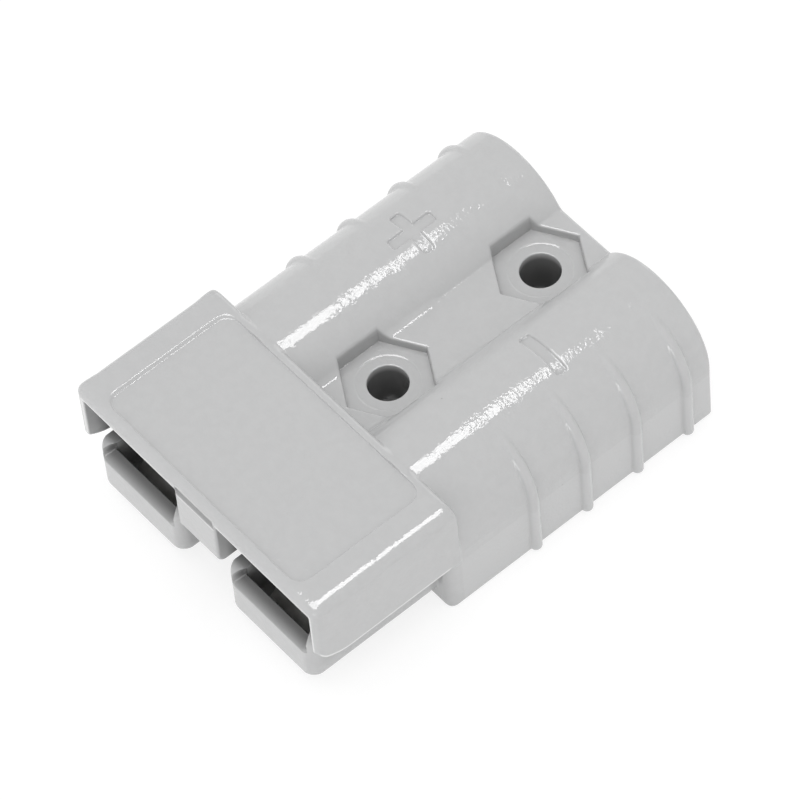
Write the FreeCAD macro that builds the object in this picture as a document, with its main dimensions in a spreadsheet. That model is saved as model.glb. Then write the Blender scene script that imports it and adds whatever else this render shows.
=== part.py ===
import FreeCAD, Part
import math
import os
import Sketcher

# Genderless two-pole power connector, in millimetres.
# X runs across the two poles, Y from the mating end to the cable end, Z up.
# The origin is on the bottom face, midway between the two fixing holes. Inside each body,
# Y is measured from the hood's front edge, and the body's placement moves it to the origin.

SIZES = [
    # Overall housing
    ("hood_width", 36.5, "across the hood's side walls"),
    ("total_height", 16.0, "bottom face to the hood's top"),
    ("body_end", 50.2, "hood front edge to the cable end"),
    ("mid_height", 8.0, "height of the mating plane and of the barrel axes"),
    # Hood
    ("hood_back", 1.7, "hood plate behind the wall that stops the other half"),
    ("plate_thickness", 1.6, "hood plate"),
    ("wall_thickness", 1.2, "hood side walls"),
    ("wall_bottom", 7.0, "height of the side walls' lower edge"),
    ("wall_lead_length", 4.0, "curved lead-in at the front of the side walls"),
    ("wall_lead_rise", 1.5, "how far the lead-in lifts the wall's front corner"),
    ("hood_side_radius", 1.0, "edge between the hood's top and its sides"),
    ("hood_front_radius", 0.5, "edge round the hood's front face"),
    ("socket_depth", 16.0, "hood front edge to the wall that stops the other half"),
    # Label panel
    ("panel_margin", 3.65, "hood side to the recessed panel"),
    ("panel_front", 1.05, "hood front edge to the panel"),
    ("panel_back_margin", 1.1, "panel to the hood's back edge"),
    ("panel_radius", 1.6, "panel corners"),
    ("panel_depth", 0.25, "depth of the panel"),
    # Centre post
    ("post_width", 6.1, "post between the tongues of the other half"),
    ("post_nose_radius", 1.0, "lower front edge of the post"),
    # Tongues
    ("tongue_front", 0.1, "tongue face behind the hood's front edge"),
    ("tongue_side_gap", 0.8, "tongue to the inside of a hood side wall"),
    ("tongue_post_gap", 0.5, "tongue to the side of a centre post"),
    ("tongue_under_gap", 0.05, "tongue to the hood plate that slides beneath it"),
    ("tongue_corner_radius", 1.5, "upright front corners of a tongue"),
    ("tongue_nose_radius", 1.5, "upper front corners of a tongue's cheeks"),
    ("tongue_edge_radius", 0.5, "lower edges of a tongue"),
    # Mouth and channel
    ("channel_width", 9.6, "clear width between the cheeks"),
    ("channel_offset", 0.1, "middle of the channel, outward from the tongue's middle"),
    ("channel_floor", 3.0, "height of the channel floor"),
    ("blade_headroom", 0.3, "above the blade where it passes the stop wall"),
    ("lip_thickness", 1.4, "front wall of the channel"),
    ("lip_drop", 0.9, "lip below the mating plane"),
    ("lead_height", 1.1, "height of the sloped lead-in below the lip"),
    ("lead_side", 0.8, "width of the sloped lead-in on the cheeks"),
    ("lead_corner", 0.5, "cut lower corners of the mouth"),
    # Barrels
    ("pole_pitch", 20.4, "between the barrel axes"),
    ("web_height", 12.6, "top of the web between the barrels"),
    ("front_corner_radius", 1.3, "upright front corners of the lower body"),
    ("bottom_edge_radius", 0.5, "edge round the bottom face"),
    ("cable_bore_radius", 5.75, "entry for the insulated cable"),
    ("cable_bore_depth", 12.0, "length of the cable entry"),
    ("contact_bore_gap", 0.3, "bore to the contact's wire barrel"),
    ("stop_gap", 0.2, "contact shoulder to the stop face"),
    # Fixing holes
    ("hole_spacing", 19.8, "between the fixing holes"),
    ("first_hole", 24.3, "hood front edge to the first hole"),
    ("hole_radius", 2.1, "fixing holes"),
    ("nut_across_flats", 8.8, "nut recesses"),
    ("nut_depth", 1.0, "nut recesses below the web"),
    ("ring_width", 1.2, "raised ring round a hole"),
    ("ring_height", 0.12, "raised ring round a hole"),
    # Grip ribs
    ("rib_radius", 0.65, "round section of a rib"),
    ("rib_foot_height", 0.6, "bottom face to the ribs' lower ends"),
    ("first_rib", 26.9, "hood front edge to the first rib"),
    ("rib_pitch", 6.65, "between ribs"),
    ("rib_count", 4, "ribs on each side"),
    ("rib_sweep_inset", 1.4, "how far the rib's arc is tighter than the barrel"),
    ("rib_sweep_angle", 68, "degrees of arc until a rib has sunk into the barrel"),
    # Contacts
    ("barrel_radius", 4.3, "outside of a contact's wire barrel"),
    ("barrel_length", 15.0, "wire barrel"),
    ("window_length", 6.0, "wall that stops the other half to the contact's shoulder"),
    ("wire_bore_radius", 3.15, "bore for the stripped wire"),
    ("wire_bore_depth", 12.5, "bore for the stripped wire"),
    ("wire_bore_bevel", 0.4, "bevel at the wire entry"),
    ("blade_thickness", 2.2, "wiping blade"),
    ("blade_inset", 0.2, "blade's corners inside the wire barrel's round"),
    ("blade_front", 3.3, "hood front edge to the blade's nose"),
    ("blade_nose_radius", 1.5, "rounded top of the blade's nose"),
    # Springs
    ("spring_width", 7.0, "leaf spring"),
    ("spring_thickness", 0.4, "leaf spring"),
    ("spring_front", 2.4, "hood front edge to the spring's front end"),
    ("spring_length", 12.6, "span of the bow on the channel floor"),
    ("spring_gap", 0.05, "spring to the floor and to the blade"),
]

doc = FreeCAD.newDocument("power_connector")
sheet = doc.addObject("Spreadsheet::Sheet", "Sizes")
for row, (alias, number, meaning) in enumerate(SIZES, start=1):
    sheet.set(f"A{row}", str(number))
    sheet.setAlias(f"A{row}", alias)
    sheet.set(f"B{row}", meaning)
doc.recompute()


def cell(alias):
    """The expression that names a cell."""
    return f"Sizes.{alias}"


def number(expression):
    """The present value of an expression."""
    return float(sheet.evalExpression(expression))


# Places that several features share, as expressions
HALF_WIDTH = f"({cell('hood_width')} / 2)"
WALL_INSIDE = f"({HALF_WIDTH} - {cell('wall_thickness')})"
CEILING = f"({cell('total_height')} - {cell('plate_thickness')})"
BARREL_CENTRE = f"({cell('pole_pitch')} / 2)"
BARREL_RADIUS = f"({cell('total_height')} - {cell('mid_height')})"
BODY_SIDE = f"({BARREL_CENTRE} + {BARREL_RADIUS})"
HOOD_LENGTH = f"({cell('socket_depth')} + {cell('hood_back')})"
TONGUE_OUTER = f"({WALL_INSIDE} - {cell('tongue_side_gap')})"
TONGUE_INNER = f"({cell('post_width')} / 2 + {cell('tongue_post_gap')})"
TONGUE_BOTTOM = f"({cell('plate_thickness')} + {cell('tongue_under_gap')})"
CHANNEL_CENTRE = f"(({TONGUE_OUTER} + {TONGUE_INNER}) / 2 + {cell('channel_offset')})"
CHANNEL_INNER = f"({CHANNEL_CENTRE} - {cell('channel_width')} / 2)"
CHANNEL_OUTER = f"({CHANNEL_CENTRE} + {cell('channel_width')} / 2)"
LIP_BACK = f"({cell('tongue_front')} + {cell('lip_thickness')})"
LIP_TOP = f"({cell('mid_height')} - {cell('lip_drop')})"
BARREL_START = f"({cell('socket_depth')} + {cell('window_length')})"
STOP_FACE = f"({BARREL_START} - {cell('stop_gap')})"
NUT_FLOOR = f"({cell('web_height')} - {cell('nut_depth')})"
SECOND_HOLE = f"({cell('first_hole')} + {cell('hole_spacing')})"
BLADE_BOTTOM = f"({cell('mid_height')} - {cell('blade_thickness')})"
BLADE_REACH = f"({cell('barrel_radius')} - {cell('blade_inset')})"
BLADE_WIDTH = f"(2 * sqrt({BLADE_REACH}^2 - {cell('blade_thickness')}^2))"


def plane_of(body, role):
    """An origin plane or axis of a body, by its role."""
    return next(item for item in body.Origin.OriginFeatures if item.Role == role)


def new_body(name, across="0"):
    """A body placed so that the origin lies midway between the fixing holes."""
    body = doc.addObject("PartDesign::Body", name)
    body.Label = name
    body.Placement = FreeCAD.Placement(FreeCAD.Vector(0, 0, 0), FreeCAD.Rotation())
    body.setExpression(".Placement.Base.x", across)
    body.setExpression(".Placement.Base.y", f"-({cell('first_hole')} + {cell('hole_spacing')} / 2)")
    return body


def new_sketch(body, name, role, along="0", up="0"):
    """A sketch on an origin plane, moved along the plane's normal and up in its own plane."""
    sketch = body.newObject("Sketcher::SketchObject", name)
    sketch.AttachmentSupport = [(plane_of(body, role), "")]
    sketch.MapMode = "FlatFace"
    sketch.setExpression(".AttachmentOffset.Base.z", along)
    sketch.setExpression(".AttachmentOffset.Base.y", up)
    return sketch


def drive(sketch, kind, *rest, value):
    """A dimension of a sketch that follows an expression."""
    index = sketch.addConstraint(Sketcher.Constraint(kind, *rest, number(value)))
    sketch.setExpression(f"Constraints[{index}]", value)


def pin(sketch, geometry, end, x=None, y=None):
    """Places an end of a line or arc from the sketch's origin."""
    if x is not None:
        drive(sketch, "DistanceX", -1, 1, geometry, end, value=x)
    if y is not None:
        drive(sketch, "DistanceY", -1, 1, geometry, end, value=y)


def vector(x, y):
    return FreeCAD.Vector(number(x), number(y), 0)


def corner_arc(before, corner, after, radius):
    """The arc that rounds a corner of a polygon: its centre, ends and angles."""
    to_before = (before - corner).normalize()
    to_after = (after - corner).normalize()
    half_turn = to_before.getAngle(to_after) / 2
    reach = radius / math.tan(half_turn)
    start = corner + to_before * reach
    end = corner + to_after * reach
    middle = (to_before + to_after).normalize()
    centre = corner + middle * (radius / math.sin(half_turn))
    return centre, start, end


def outline(sketch, lines, radii=None):
    """A closed outline of upright ("x") and level ("y") lines; radii round the corner after a line."""
    radii = radii or {}
    count = len(lines)
    corners = []
    for i, (axis, place) in enumerate(lines):
        following = lines[(i + 1) % count][1]
        corners.append(vector(place, following) if axis == "x" else vector(following, place))
    starts, ends, arcs = {}, {}, {}
    for i in range(count):
        after = (i + 1) % count
        if i in radii:
            before_point, after_point = corners[i - 1], corners[after]
            arcs[i] = corner_arc(before_point, corners[i], after_point, number(radii[i]))
            ends[i], starts[after] = arcs[i][1], arcs[i][2]
        else:
            ends[i], starts[after] = corners[i], corners[i]
    index = {}
    for i, (axis, place) in enumerate(lines):
        index[i] = sketch.addGeometry(Part.LineSegment(starts[i], ends[i]))
        sketch.addConstraint(Sketcher.Constraint("Vertical" if axis == "x" else "Horizontal", index[i]))
    for i in range(count):
        after = (i + 1) % count
        if i not in arcs:
            sketch.addConstraint(Sketcher.Constraint("Coincident", index[i], 2, index[after], 1))
            continue
        centre, start, end = arcs[i]
        turn = (start - centre).cross(end - centre).z
        first, last = (start, end) if turn > 0 else (end, start)
        from_angle = math.atan2(first.y - centre.y, first.x - centre.x)
        to_angle = math.atan2(last.y - centre.y, last.x - centre.x)
        circle = Part.Circle(centre, FreeCAD.Vector(0, 0, 1), number(radii[i]))
        arc = sketch.addGeometry(Part.ArcOfCircle(circle, from_angle, to_angle))
        near, far = (1, 2) if turn > 0 else (2, 1)
        sketch.addConstraint(Sketcher.Constraint("Tangent", index[i], 2, arc, near))
        sketch.addConstraint(Sketcher.Constraint("Tangent", arc, far, index[after], 1))
        drive(sketch, "Radius", arc, value=radii[i])
    for i, (axis, place) in enumerate(lines):
        pin(sketch, index[i], 1, **{axis: place})


def corner_cut(sketch, x, y, inward_x, inward_y, radius):
    """The sliver between a square corner and its rounding; inward_x and inward_y point into the piece."""
    corner = vector(x, y)
    reach = number(radius)
    centre = corner + FreeCAD.Vector(inward_x * reach, inward_y * reach, 0)
    on_level = FreeCAD.Vector(centre.x, corner.y, 0)
    on_upright = FreeCAD.Vector(corner.x, centre.y, 0)
    level = sketch.addGeometry(Part.LineSegment(on_level, corner))
    upright = sketch.addGeometry(Part.LineSegment(corner, on_upright))
    forward = inward_x * inward_y < 0
    first, last = (on_level, on_upright) if forward else (on_upright, on_level)
    from_angle = math.atan2(first.y - centre.y, first.x - centre.x)
    to_angle = math.atan2(last.y - centre.y, last.x - centre.x)
    ring = Part.Circle(centre, FreeCAD.Vector(0, 0, 1), reach)
    arc = sketch.addGeometry(Part.ArcOfCircle(ring, from_angle, to_angle))
    near, far = (1, 2) if forward else (2, 1)
    sketch.addConstraint(Sketcher.Constraint("Coincident", level, 2, upright, 1))
    sketch.addConstraint(Sketcher.Constraint("Horizontal", level))
    sketch.addConstraint(Sketcher.Constraint("Vertical", upright))
    sketch.addConstraint(Sketcher.Constraint("Tangent", level, 1, arc, near))
    sketch.addConstraint(Sketcher.Constraint("Tangent", upright, 2, arc, far))
    pin(sketch, upright, 1, x, y)
    drive(sketch, "Radius", arc, value=radius)


def polygon(sketch, stations):
    """A closed outline through placed points; a height of "0" lies on the sketch's X axis."""
    count = len(stations)
    lines = []
    for i, station in enumerate(stations):
        following = stations[(i + 1) % count]
        lines.append(sketch.addGeometry(Part.LineSegment(vector(*station), vector(*following))))
    for i, (x, y) in enumerate(stations):
        sketch.addConstraint(Sketcher.Constraint("Coincident", lines[i], 2, lines[(i + 1) % count], 1))
        if y == "0":
            sketch.addConstraint(Sketcher.Constraint("PointOnObject", lines[i], 1, -1))
            pin(sketch, lines[i], 1, x=x)
        else:
            pin(sketch, lines[i], 1, x, y)


def circle(sketch, x, y, radius):
    """A circle placed from the sketch's origin."""
    shape = Part.Circle(vector(x, y), FreeCAD.Vector(0, 0, 1), number(radius))
    index = sketch.addGeometry(shape)
    pin(sketch, index, 3, x, y)
    drive(sketch, "Radius", index, value=radius)
    return index


def feature(body, kind, name, sketch, **settings):
    """A PartDesign feature on a sketch; text settings are expressions unless they name a choice."""
    item = body.newObject(f"PartDesign::{kind}", name)
    item.Profile = sketch
    for key, value in settings.items():
        if isinstance(value, str) and key in ("Length", "Length2", "Angle"):
            item.setExpression(key, value)
        else:
            setattr(item, key, value)
    sketch.Visibility = False
    doc.recompute()
    return item


def pad(body, name, sketch, length, **settings):
    return feature(body, "Pad", name, sketch, Length=length, **settings)


def pocket(body, name, sketch, length, **settings):
    """A pocket that must remove material."""
    before = body.Shape.Volume
    item = feature(body, "Pocket", name, sketch, Length=length, **settings)
    if not body.Shape.Volume < before - 1e-6:
        raise RuntimeError(f"{name} removes nothing")
    return item


def rounded(body, name, radius, chosen):
    """A fillet on the edges of the body's tip that a test picks."""
    base = body.Tip
    edges = [f"Edge{i + 1}" for i, edge in enumerate(base.Shape.Edges) if chosen(edge)]
    if not edges:
        raise RuntimeError(f"{name} finds no edge")
    item = body.newObject("PartDesign::Fillet", name)
    item.Base = (base, edges)
    item.setExpression("Radius", radius)
    doc.recompute()
    if item.Shape.isNull():
        raise RuntimeError(f"{name} can't be made: {item.getStatusString()}")
    return item


def lies_at(edge, **places):
    """Whether the whole edge lies at the given x, y or z (a mirrored place counts for x)."""
    box = edge.BoundBox
    for axis, expression in places.items():
        low = getattr(box, f"{axis.upper()}Min")
        high = getattr(box, f"{axis.upper()}Max")
        place = number(expression)
        if axis == "x" and high < 0:
            low, high = -high, -low
        if abs(low - place) > 0.02 or abs(high - place) > 0.02:
            return False
    return True


# Housing: the rear body, two round-topped barrels joined by a web over a flat bottom
housing = new_body("housing")

section = new_sketch(housing, "rear_section", "XZ_Plane", along=f"-{cell('socket_depth')}")
centre, radius = number(BARREL_CENTRE), number(BARREL_RADIUS)
mid, web = number(cell("mid_height")), number(cell("web_height"))
meet_angle = math.asin((web - mid) / radius)
meet_x = centre - radius * math.cos(meet_angle)
side = number(BODY_SIDE)
bottom = section.addGeometry(Part.LineSegment(FreeCAD.Vector(-side, 0, 0), FreeCAD.Vector(side, 0, 0)))
right = section.addGeometry(Part.LineSegment(FreeCAD.Vector(side, 0, 0), FreeCAD.Vector(side, mid, 0)))
up = FreeCAD.Vector(0, 0, 1)
right_circle = Part.Circle(FreeCAD.Vector(centre, mid, 0), up, radius)
right_arch = section.addGeometry(Part.ArcOfCircle(right_circle, 0, math.pi - meet_angle))
saddle_ends = (FreeCAD.Vector(meet_x, web, 0), FreeCAD.Vector(-meet_x, web, 0))
saddle = section.addGeometry(Part.LineSegment(*saddle_ends))
left_circle = Part.Circle(FreeCAD.Vector(-centre, mid, 0), up, radius)
left_arch = section.addGeometry(Part.ArcOfCircle(left_circle, meet_angle, math.pi))
left = section.addGeometry(Part.LineSegment(FreeCAD.Vector(-side, mid, 0), FreeCAD.Vector(-side, 0, 0)))
for first, end, second, start in (
    (bottom, 2, right, 1),
    (right_arch, 2, saddle, 1),
    (saddle, 2, left_arch, 1),
    (left, 2, bottom, 1),
):
    section.addConstraint(Sketcher.Constraint("Coincident", first, end, second, start))
section.addConstraint(Sketcher.Constraint("Tangent", right, 2, right_arch, 1))
section.addConstraint(Sketcher.Constraint("Tangent", left_arch, 2, left, 1))
section.addConstraint(Sketcher.Constraint("Horizontal", saddle))
section.addConstraint(Sketcher.Constraint("Vertical", right))
section.addConstraint(Sketcher.Constraint("Vertical", left))
section.addConstraint(Sketcher.Constraint("PointOnObject", bottom, 1, -1))
section.addConstraint(Sketcher.Constraint("PointOnObject", bottom, 2, -1))
pin(section, right_arch, 3, BARREL_CENTRE, cell("mid_height"))
pin(section, left_arch, 3, f"-{BARREL_CENTRE}", cell("mid_height"))
drive(section, "Radius", right_arch, value=BARREL_RADIUS)
drive(section, "Radius", left_arch, value=BARREL_RADIUS)
pin(section, saddle, 1, y=cell("web_height"))
pad(housing, "rear_body", section, f"{cell('body_end')} - {cell('socket_depth')}", Reversed=True)

# The lower body's upright front corners are rounded up to the hood's side walls
for name, sign, inward in (("right_corner", "", -1), ("left_corner", "-", 1)):
    sketch = new_sketch(housing, f"{name}_sketch", "XY_Plane")
    corner_cut(sketch, f"{sign}{BODY_SIDE}", cell("socket_depth"), inward, 1, cell("front_corner_radius"))
    pocket(housing, name, sketch, cell("wall_bottom"), Reversed=True)

rounded(housing, "bottom_edges", cell("bottom_edge_radius"), lambda edge: lies_at(edge, z="0"))


# Grip ribs: each runs up the side and then on a tighter arc that sinks into the barrel
def grip_ribs(name, sign):
    rib = cell("rib_radius")
    foot, mid = cell("rib_foot_height"), cell("mid_height")
    axis_x = f"{sign}({BARREL_CENTRE} + {cell('rib_sweep_inset')})"
    crest_x = f"{sign}({BODY_SIDE} + {rib})"
    sweep_radius = f"({BARREL_RADIUS} - {cell('rib_sweep_inset')} + {rib})"
    sketch = new_sketch(housing, f"{name}_rib_sketch", "XZ_Plane", along=f"-{cell('first_rib')}")
    middle = vector(axis_x, mid)
    ring = Part.Circle(middle, up, number(sweep_radius))
    turn = math.radians(number(cell("rib_sweep_angle")))
    first, last = (0, turn) if sign == "" else (math.pi - turn, math.pi)
    low_end, high_end = (1, 2) if sign == "" else (2, 1)
    arc = sketch.addGeometry(Part.ArcOfCircle(ring, first, last))
    side = sketch.addGeometry(Part.LineSegment(vector(crest_x, foot), vector(crest_x, mid)))
    below = sketch.addGeometry(Part.LineSegment(vector(axis_x, foot), vector(crest_x, foot)))
    inside = sketch.addGeometry(Part.LineSegment(middle, vector(axis_x, foot)))
    top = FreeCAD.Vector(middle)
    reach = math.cos(turn) if sign == "" else -math.cos(turn)
    top += FreeCAD.Vector(reach, math.sin(turn), 0) * number(sweep_radius)
    spoke = sketch.addGeometry(Part.LineSegment(top, middle))
    sketch.addConstraint(Sketcher.Constraint("Coincident", below, 2, side, 1))
    sketch.addConstraint(Sketcher.Constraint("Tangent", side, 2, arc, low_end))
    sketch.addConstraint(Sketcher.Constraint("Coincident", arc, high_end, spoke, 1))
    sketch.addConstraint(Sketcher.Constraint("Coincident", spoke, 2, inside, 1))
    sketch.addConstraint(Sketcher.Constraint("Coincident", inside, 2, below, 1))
    sketch.addConstraint(Sketcher.Constraint("Coincident", spoke, 2, arc, 3))
    sketch.addConstraint(Sketcher.Constraint("Vertical", side))
    sketch.addConstraint(Sketcher.Constraint("Vertical", inside))
    sketch.addConstraint(Sketcher.Constraint("Horizontal", below))
    pin(sketch, inside, 1, axis_x, mid)
    pin(sketch, side, 1, crest_x, foot)
    if sign == "":
        drive(sketch, "Angle", -1, 1, spoke, 2, value=f"{cell('rib_sweep_angle')} * 1 deg")
    else:
        drive(sketch, "Angle", spoke, 2, -1, 1, value=f"(180 - {cell('rib_sweep_angle')}) * 1 deg")
    rib_pad = pad(housing, f"{name}_rib", sketch, f"2 * {rib}", Midplane=True)
    pattern = housing.newObject("PartDesign::LinearPattern", f"{name}_ribs")
    pattern.Originals = [rib_pad]
    pattern.Direction = (plane_of(housing, "Y_Axis"), [""])
    pattern.setExpression("Length", f"{cell('rib_pitch')} * ({cell('rib_count')} - 1)")
    pattern.setExpression("Occurrences", cell("rib_count"))
    housing.Tip = pattern
    doc.recompute()

    def outer_edge(edge):
        box = edge.BoundBox
        reaches = max(box.XMax, -box.XMin) > number(BODY_SIDE) + number(rib) - 0.02
        right_side = box.XMax > 0 if sign == "" else box.XMin < 0
        return reaches and right_side and box.YMax - box.YMin < 0.01

    rounded(housing, f"{name}_rib_edges", f"{rib} * 0.8", outer_edge)


grip_ribs("right", "")
grip_ribs("left", "-")

# Tongues: a rounded block for each pole, in front of the body
for name, near, far in (
    ("right", TONGUE_INNER, TONGUE_OUTER),
    ("left", f"-{TONGUE_OUTER}", f"-{TONGUE_INNER}"),
):
    sketch = new_sketch(housing, f"{name}_tongue_sketch", "XY_Plane", along=TONGUE_BOTTOM)
    corner = cell("tongue_corner_radius")
    outline(
        sketch,
        [("x", near), ("y", cell("tongue_front")), ("x", far), ("y", f"({cell('socket_depth')} + 1)")],
        {0: corner, 1: corner},
    )
    pad(housing, f"{name}_tongue", sketch, f"{cell('mid_height')} - {TONGUE_BOTTOM}")


def under_tongue(edge):
    return lies_at(edge, z=TONGUE_BOTTOM) and edge.BoundBox.YMin < number(cell("socket_depth")) - 0.02


rounded(housing, "tongue_edges", cell("tongue_edge_radius"), under_tongue)

# The cheeks' upper front corners are rounded in side view
sketch = new_sketch(housing, "tongue_nose_sketch", "YZ_Plane")
corner_cut(sketch, cell("tongue_front"), cell("mid_height"), 1, -1, cell("tongue_nose_radius"))
pocket(housing, "tongue_nose", sketch, cell("hood_width"), Midplane=True)

# Hood: plate and stop wall as one L, then a side wall with a curved lead-in on each side
sketch = new_sketch(housing, "hood_sketch", "YZ_Plane")
outline(
    sketch,
    [
        ("y", CEILING),
        ("x", cell("socket_depth")),
        ("y", cell("wall_bottom")),
        ("x", HOOD_LENGTH),
        ("y", cell("total_height")),
        ("x", "0"),
    ],
)
pad(housing, "hood", sketch, cell("hood_width"), Midplane=True)

for name, inside in (("right_wall", WALL_INSIDE), ("left_wall", f"-{HALF_WIDTH}")):
    sketch = new_sketch(housing, f"{name}_sketch", "YZ_Plane", along=inside)
    lead, rise = cell("wall_lead_length"), cell("wall_lead_rise")
    low, top = cell("wall_bottom"), cell("total_height")
    front_z = f"({low} + {rise})"
    sweep_radius = f"(({lead} * {lead} + {rise} * {rise}) / (2 * {rise}))"
    middle = vector(lead, f"{low} + {sweep_radius}")
    ring = Part.Circle(middle, up, number(sweep_radius))
    front = vector("0", front_z)
    front_angle = math.atan2(front.y - middle.y, front.x - middle.x)
    arc = sketch.addGeometry(Part.ArcOfCircle(ring, front_angle, -math.pi / 2))
    below = sketch.addGeometry(Part.LineSegment(vector(lead, low), vector(HOOD_LENGTH, low)))
    back = sketch.addGeometry(Part.LineSegment(vector(HOOD_LENGTH, low), vector(HOOD_LENGTH, top)))
    above = sketch.addGeometry(Part.LineSegment(vector(HOOD_LENGTH, top), vector("0", top)))
    face = sketch.addGeometry(Part.LineSegment(vector("0", top), front))
    sketch.addConstraint(Sketcher.Constraint("Tangent", arc, 2, below, 1))
    sketch.addConstraint(Sketcher.Constraint("Coincident", below, 2, back, 1))
    sketch.addConstraint(Sketcher.Constraint("Coincident", back, 2, above, 1))
    sketch.addConstraint(Sketcher.Constraint("Coincident", above, 2, face, 1))
    sketch.addConstraint(Sketcher.Constraint("Coincident", face, 2, arc, 1))
    sketch.addConstraint(Sketcher.Constraint("Horizontal", below))
    sketch.addConstraint(Sketcher.Constraint("Vertical", back))
    sketch.addConstraint(Sketcher.Constraint("Horizontal", above))
    sketch.addConstraint(Sketcher.Constraint("PointOnObject", face, 1, -2))
    sketch.addConstraint(Sketcher.Constraint("PointOnObject", face, 2, -2))
    pin(sketch, below, 1, lead, low)
    pin(sketch, back, 2, HOOD_LENGTH, top)
    pin(sketch, face, 2, y=front_z)
    pad(housing, name, sketch, cell("wall_thickness"))


def hood_side_edge(edge):
    return lies_at(edge, x=HALF_WIDTH, z=cell("total_height"))


def hood_front_edge(edge):
    box = edge.BoundBox
    on_face = lies_at(edge, y="0")
    above = box.ZMax > number(CEILING) + 0.02
    beyond = abs(box.XMax) + abs(box.XMin) > 2 * number(WALL_INSIDE) + 0.5
    level_under = box.ZMax - box.ZMin < 0.01 and box.ZMax < number(cell("total_height")) - 0.02
    return on_face and (above or beyond) and not level_under


rounded(housing, "hood_side_edges", cell("hood_side_radius"), hood_side_edge)
rounded(housing, "hood_front_edges", cell("hood_front_radius"), hood_front_edge)

# Centre post that hangs from the hood and parts the two poles
sketch = new_sketch(housing, "post_sketch", "YZ_Plane")
outline(
    sketch,
    [
        ("x", "0"),
        ("y", cell("mid_height")),
        ("x", f"({cell('socket_depth')} + 1)"),
        ("y", f"({CEILING} + 0.5)"),
    ],
    {0: cell("post_nose_radius")},
)
pad(housing, "centre_post", sketch, cell("post_width"), Midplane=True)

# Channels: each runs from the mouth to the stop face, and a stepped bore goes on to the cable end
for name, near, far in (
    ("right", CHANNEL_INNER, CHANNEL_OUTER),
    ("left", f"-{CHANNEL_OUTER}", f"-{CHANNEL_INNER}"),
):
    sketch = new_sketch(housing, f"{name}_channel_sketch", "XZ_Plane", along=f"-{LIP_BACK}")
    headroom = f"({cell('mid_height')} + {cell('blade_headroom')})"
    outline(sketch, [("x", near), ("y", cell("channel_floor")), ("x", far), ("y", headroom)])
    pocket(housing, f"{name}_channel", sketch, f"{STOP_FACE} - {LIP_BACK}")

    rings = []
    sill = f"({LIP_TOP} - {cell('lead_height')})"
    for ring_name, place, spread, low, cut in (
        ("mouth", cell("tongue_front"), cell("lead_side"), sill, cell("lead_corner")),
        ("lip", LIP_BACK, "0", LIP_TOP, f"({cell('lead_corner')} / 4)"),
    ):
        ring = new_sketch(housing, f"{name}_{ring_name}_sketch", "XZ_Plane", along=f"-{place}")
        left, right = f"({near} - {spread})", f"({far} + {spread})"
        polygon(
            ring,
            [
                (left, headroom),
                (left, f"({low} + {cut})"),
                (f"({left} + {cut})", low),
                (f"({right} - {cut})", low),
                (right, f"({low} + {cut})"),
                (right, headroom),
            ],
        )
        rings.append(ring)
    before = housing.Shape.Volume
    lead_in = housing.newObject("PartDesign::SubtractiveLoft", f"{name}_lead_in")
    lead_in.Profile = rings[0]
    lead_in.Sections = [rings[1]]
    lead_in.Ruled = True
    doc.recompute()
    if not housing.Shape.Volume < before:
        raise RuntimeError("the lead-in removes nothing")

for name, sign in (("right", ""), ("left", "-")):
    axis_x, axis_z = f"{sign}{BARREL_CENTRE}", cell("mid_height")
    sketch = new_sketch(housing, f"{name}_bore_sketch", "YZ_Plane", along=axis_x, up=axis_z)
    contact_bore = f"({cell('barrel_radius')} + {cell('contact_bore_gap')})"
    step = f"({cell('body_end')} - {cell('cable_bore_depth')})"
    stations = [
        (STOP_FACE, "0"),
        (STOP_FACE, contact_bore),
        (step, contact_bore),
        (step, cell("cable_bore_radius")),
        (f"({cell('body_end')} + 1)", cell("cable_bore_radius")),
        (f"({cell('body_end')} + 1)", "0"),
    ]
    polygon(sketch, stations)
    before = housing.Shape.Volume
    feature(housing, "Groove", f"{name}_bore", sketch, ReferenceAxis=(sketch, ["H_Axis"]), Angle="360")
    if not housing.Shape.Volume < before - 1:
        raise RuntimeError("the bore removes nothing")

# Blank label panel
sketch = new_sketch(housing, "panel_sketch", "XY_Plane", along=cell("total_height"))
panel_side = f"({HALF_WIDTH} - {cell('panel_margin')})"
panel_back = f"({HOOD_LENGTH} - {cell('panel_back_margin')})"
corner = cell("panel_radius")
outline(
    sketch,
    [("x", f"-{panel_side}"), ("y", cell("panel_front")), ("x", panel_side), ("y", panel_back)],
    {0: corner, 1: corner, 2: corner, 3: corner},
)
pocket(housing, "label_panel", sketch, cell("panel_depth"))

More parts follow.
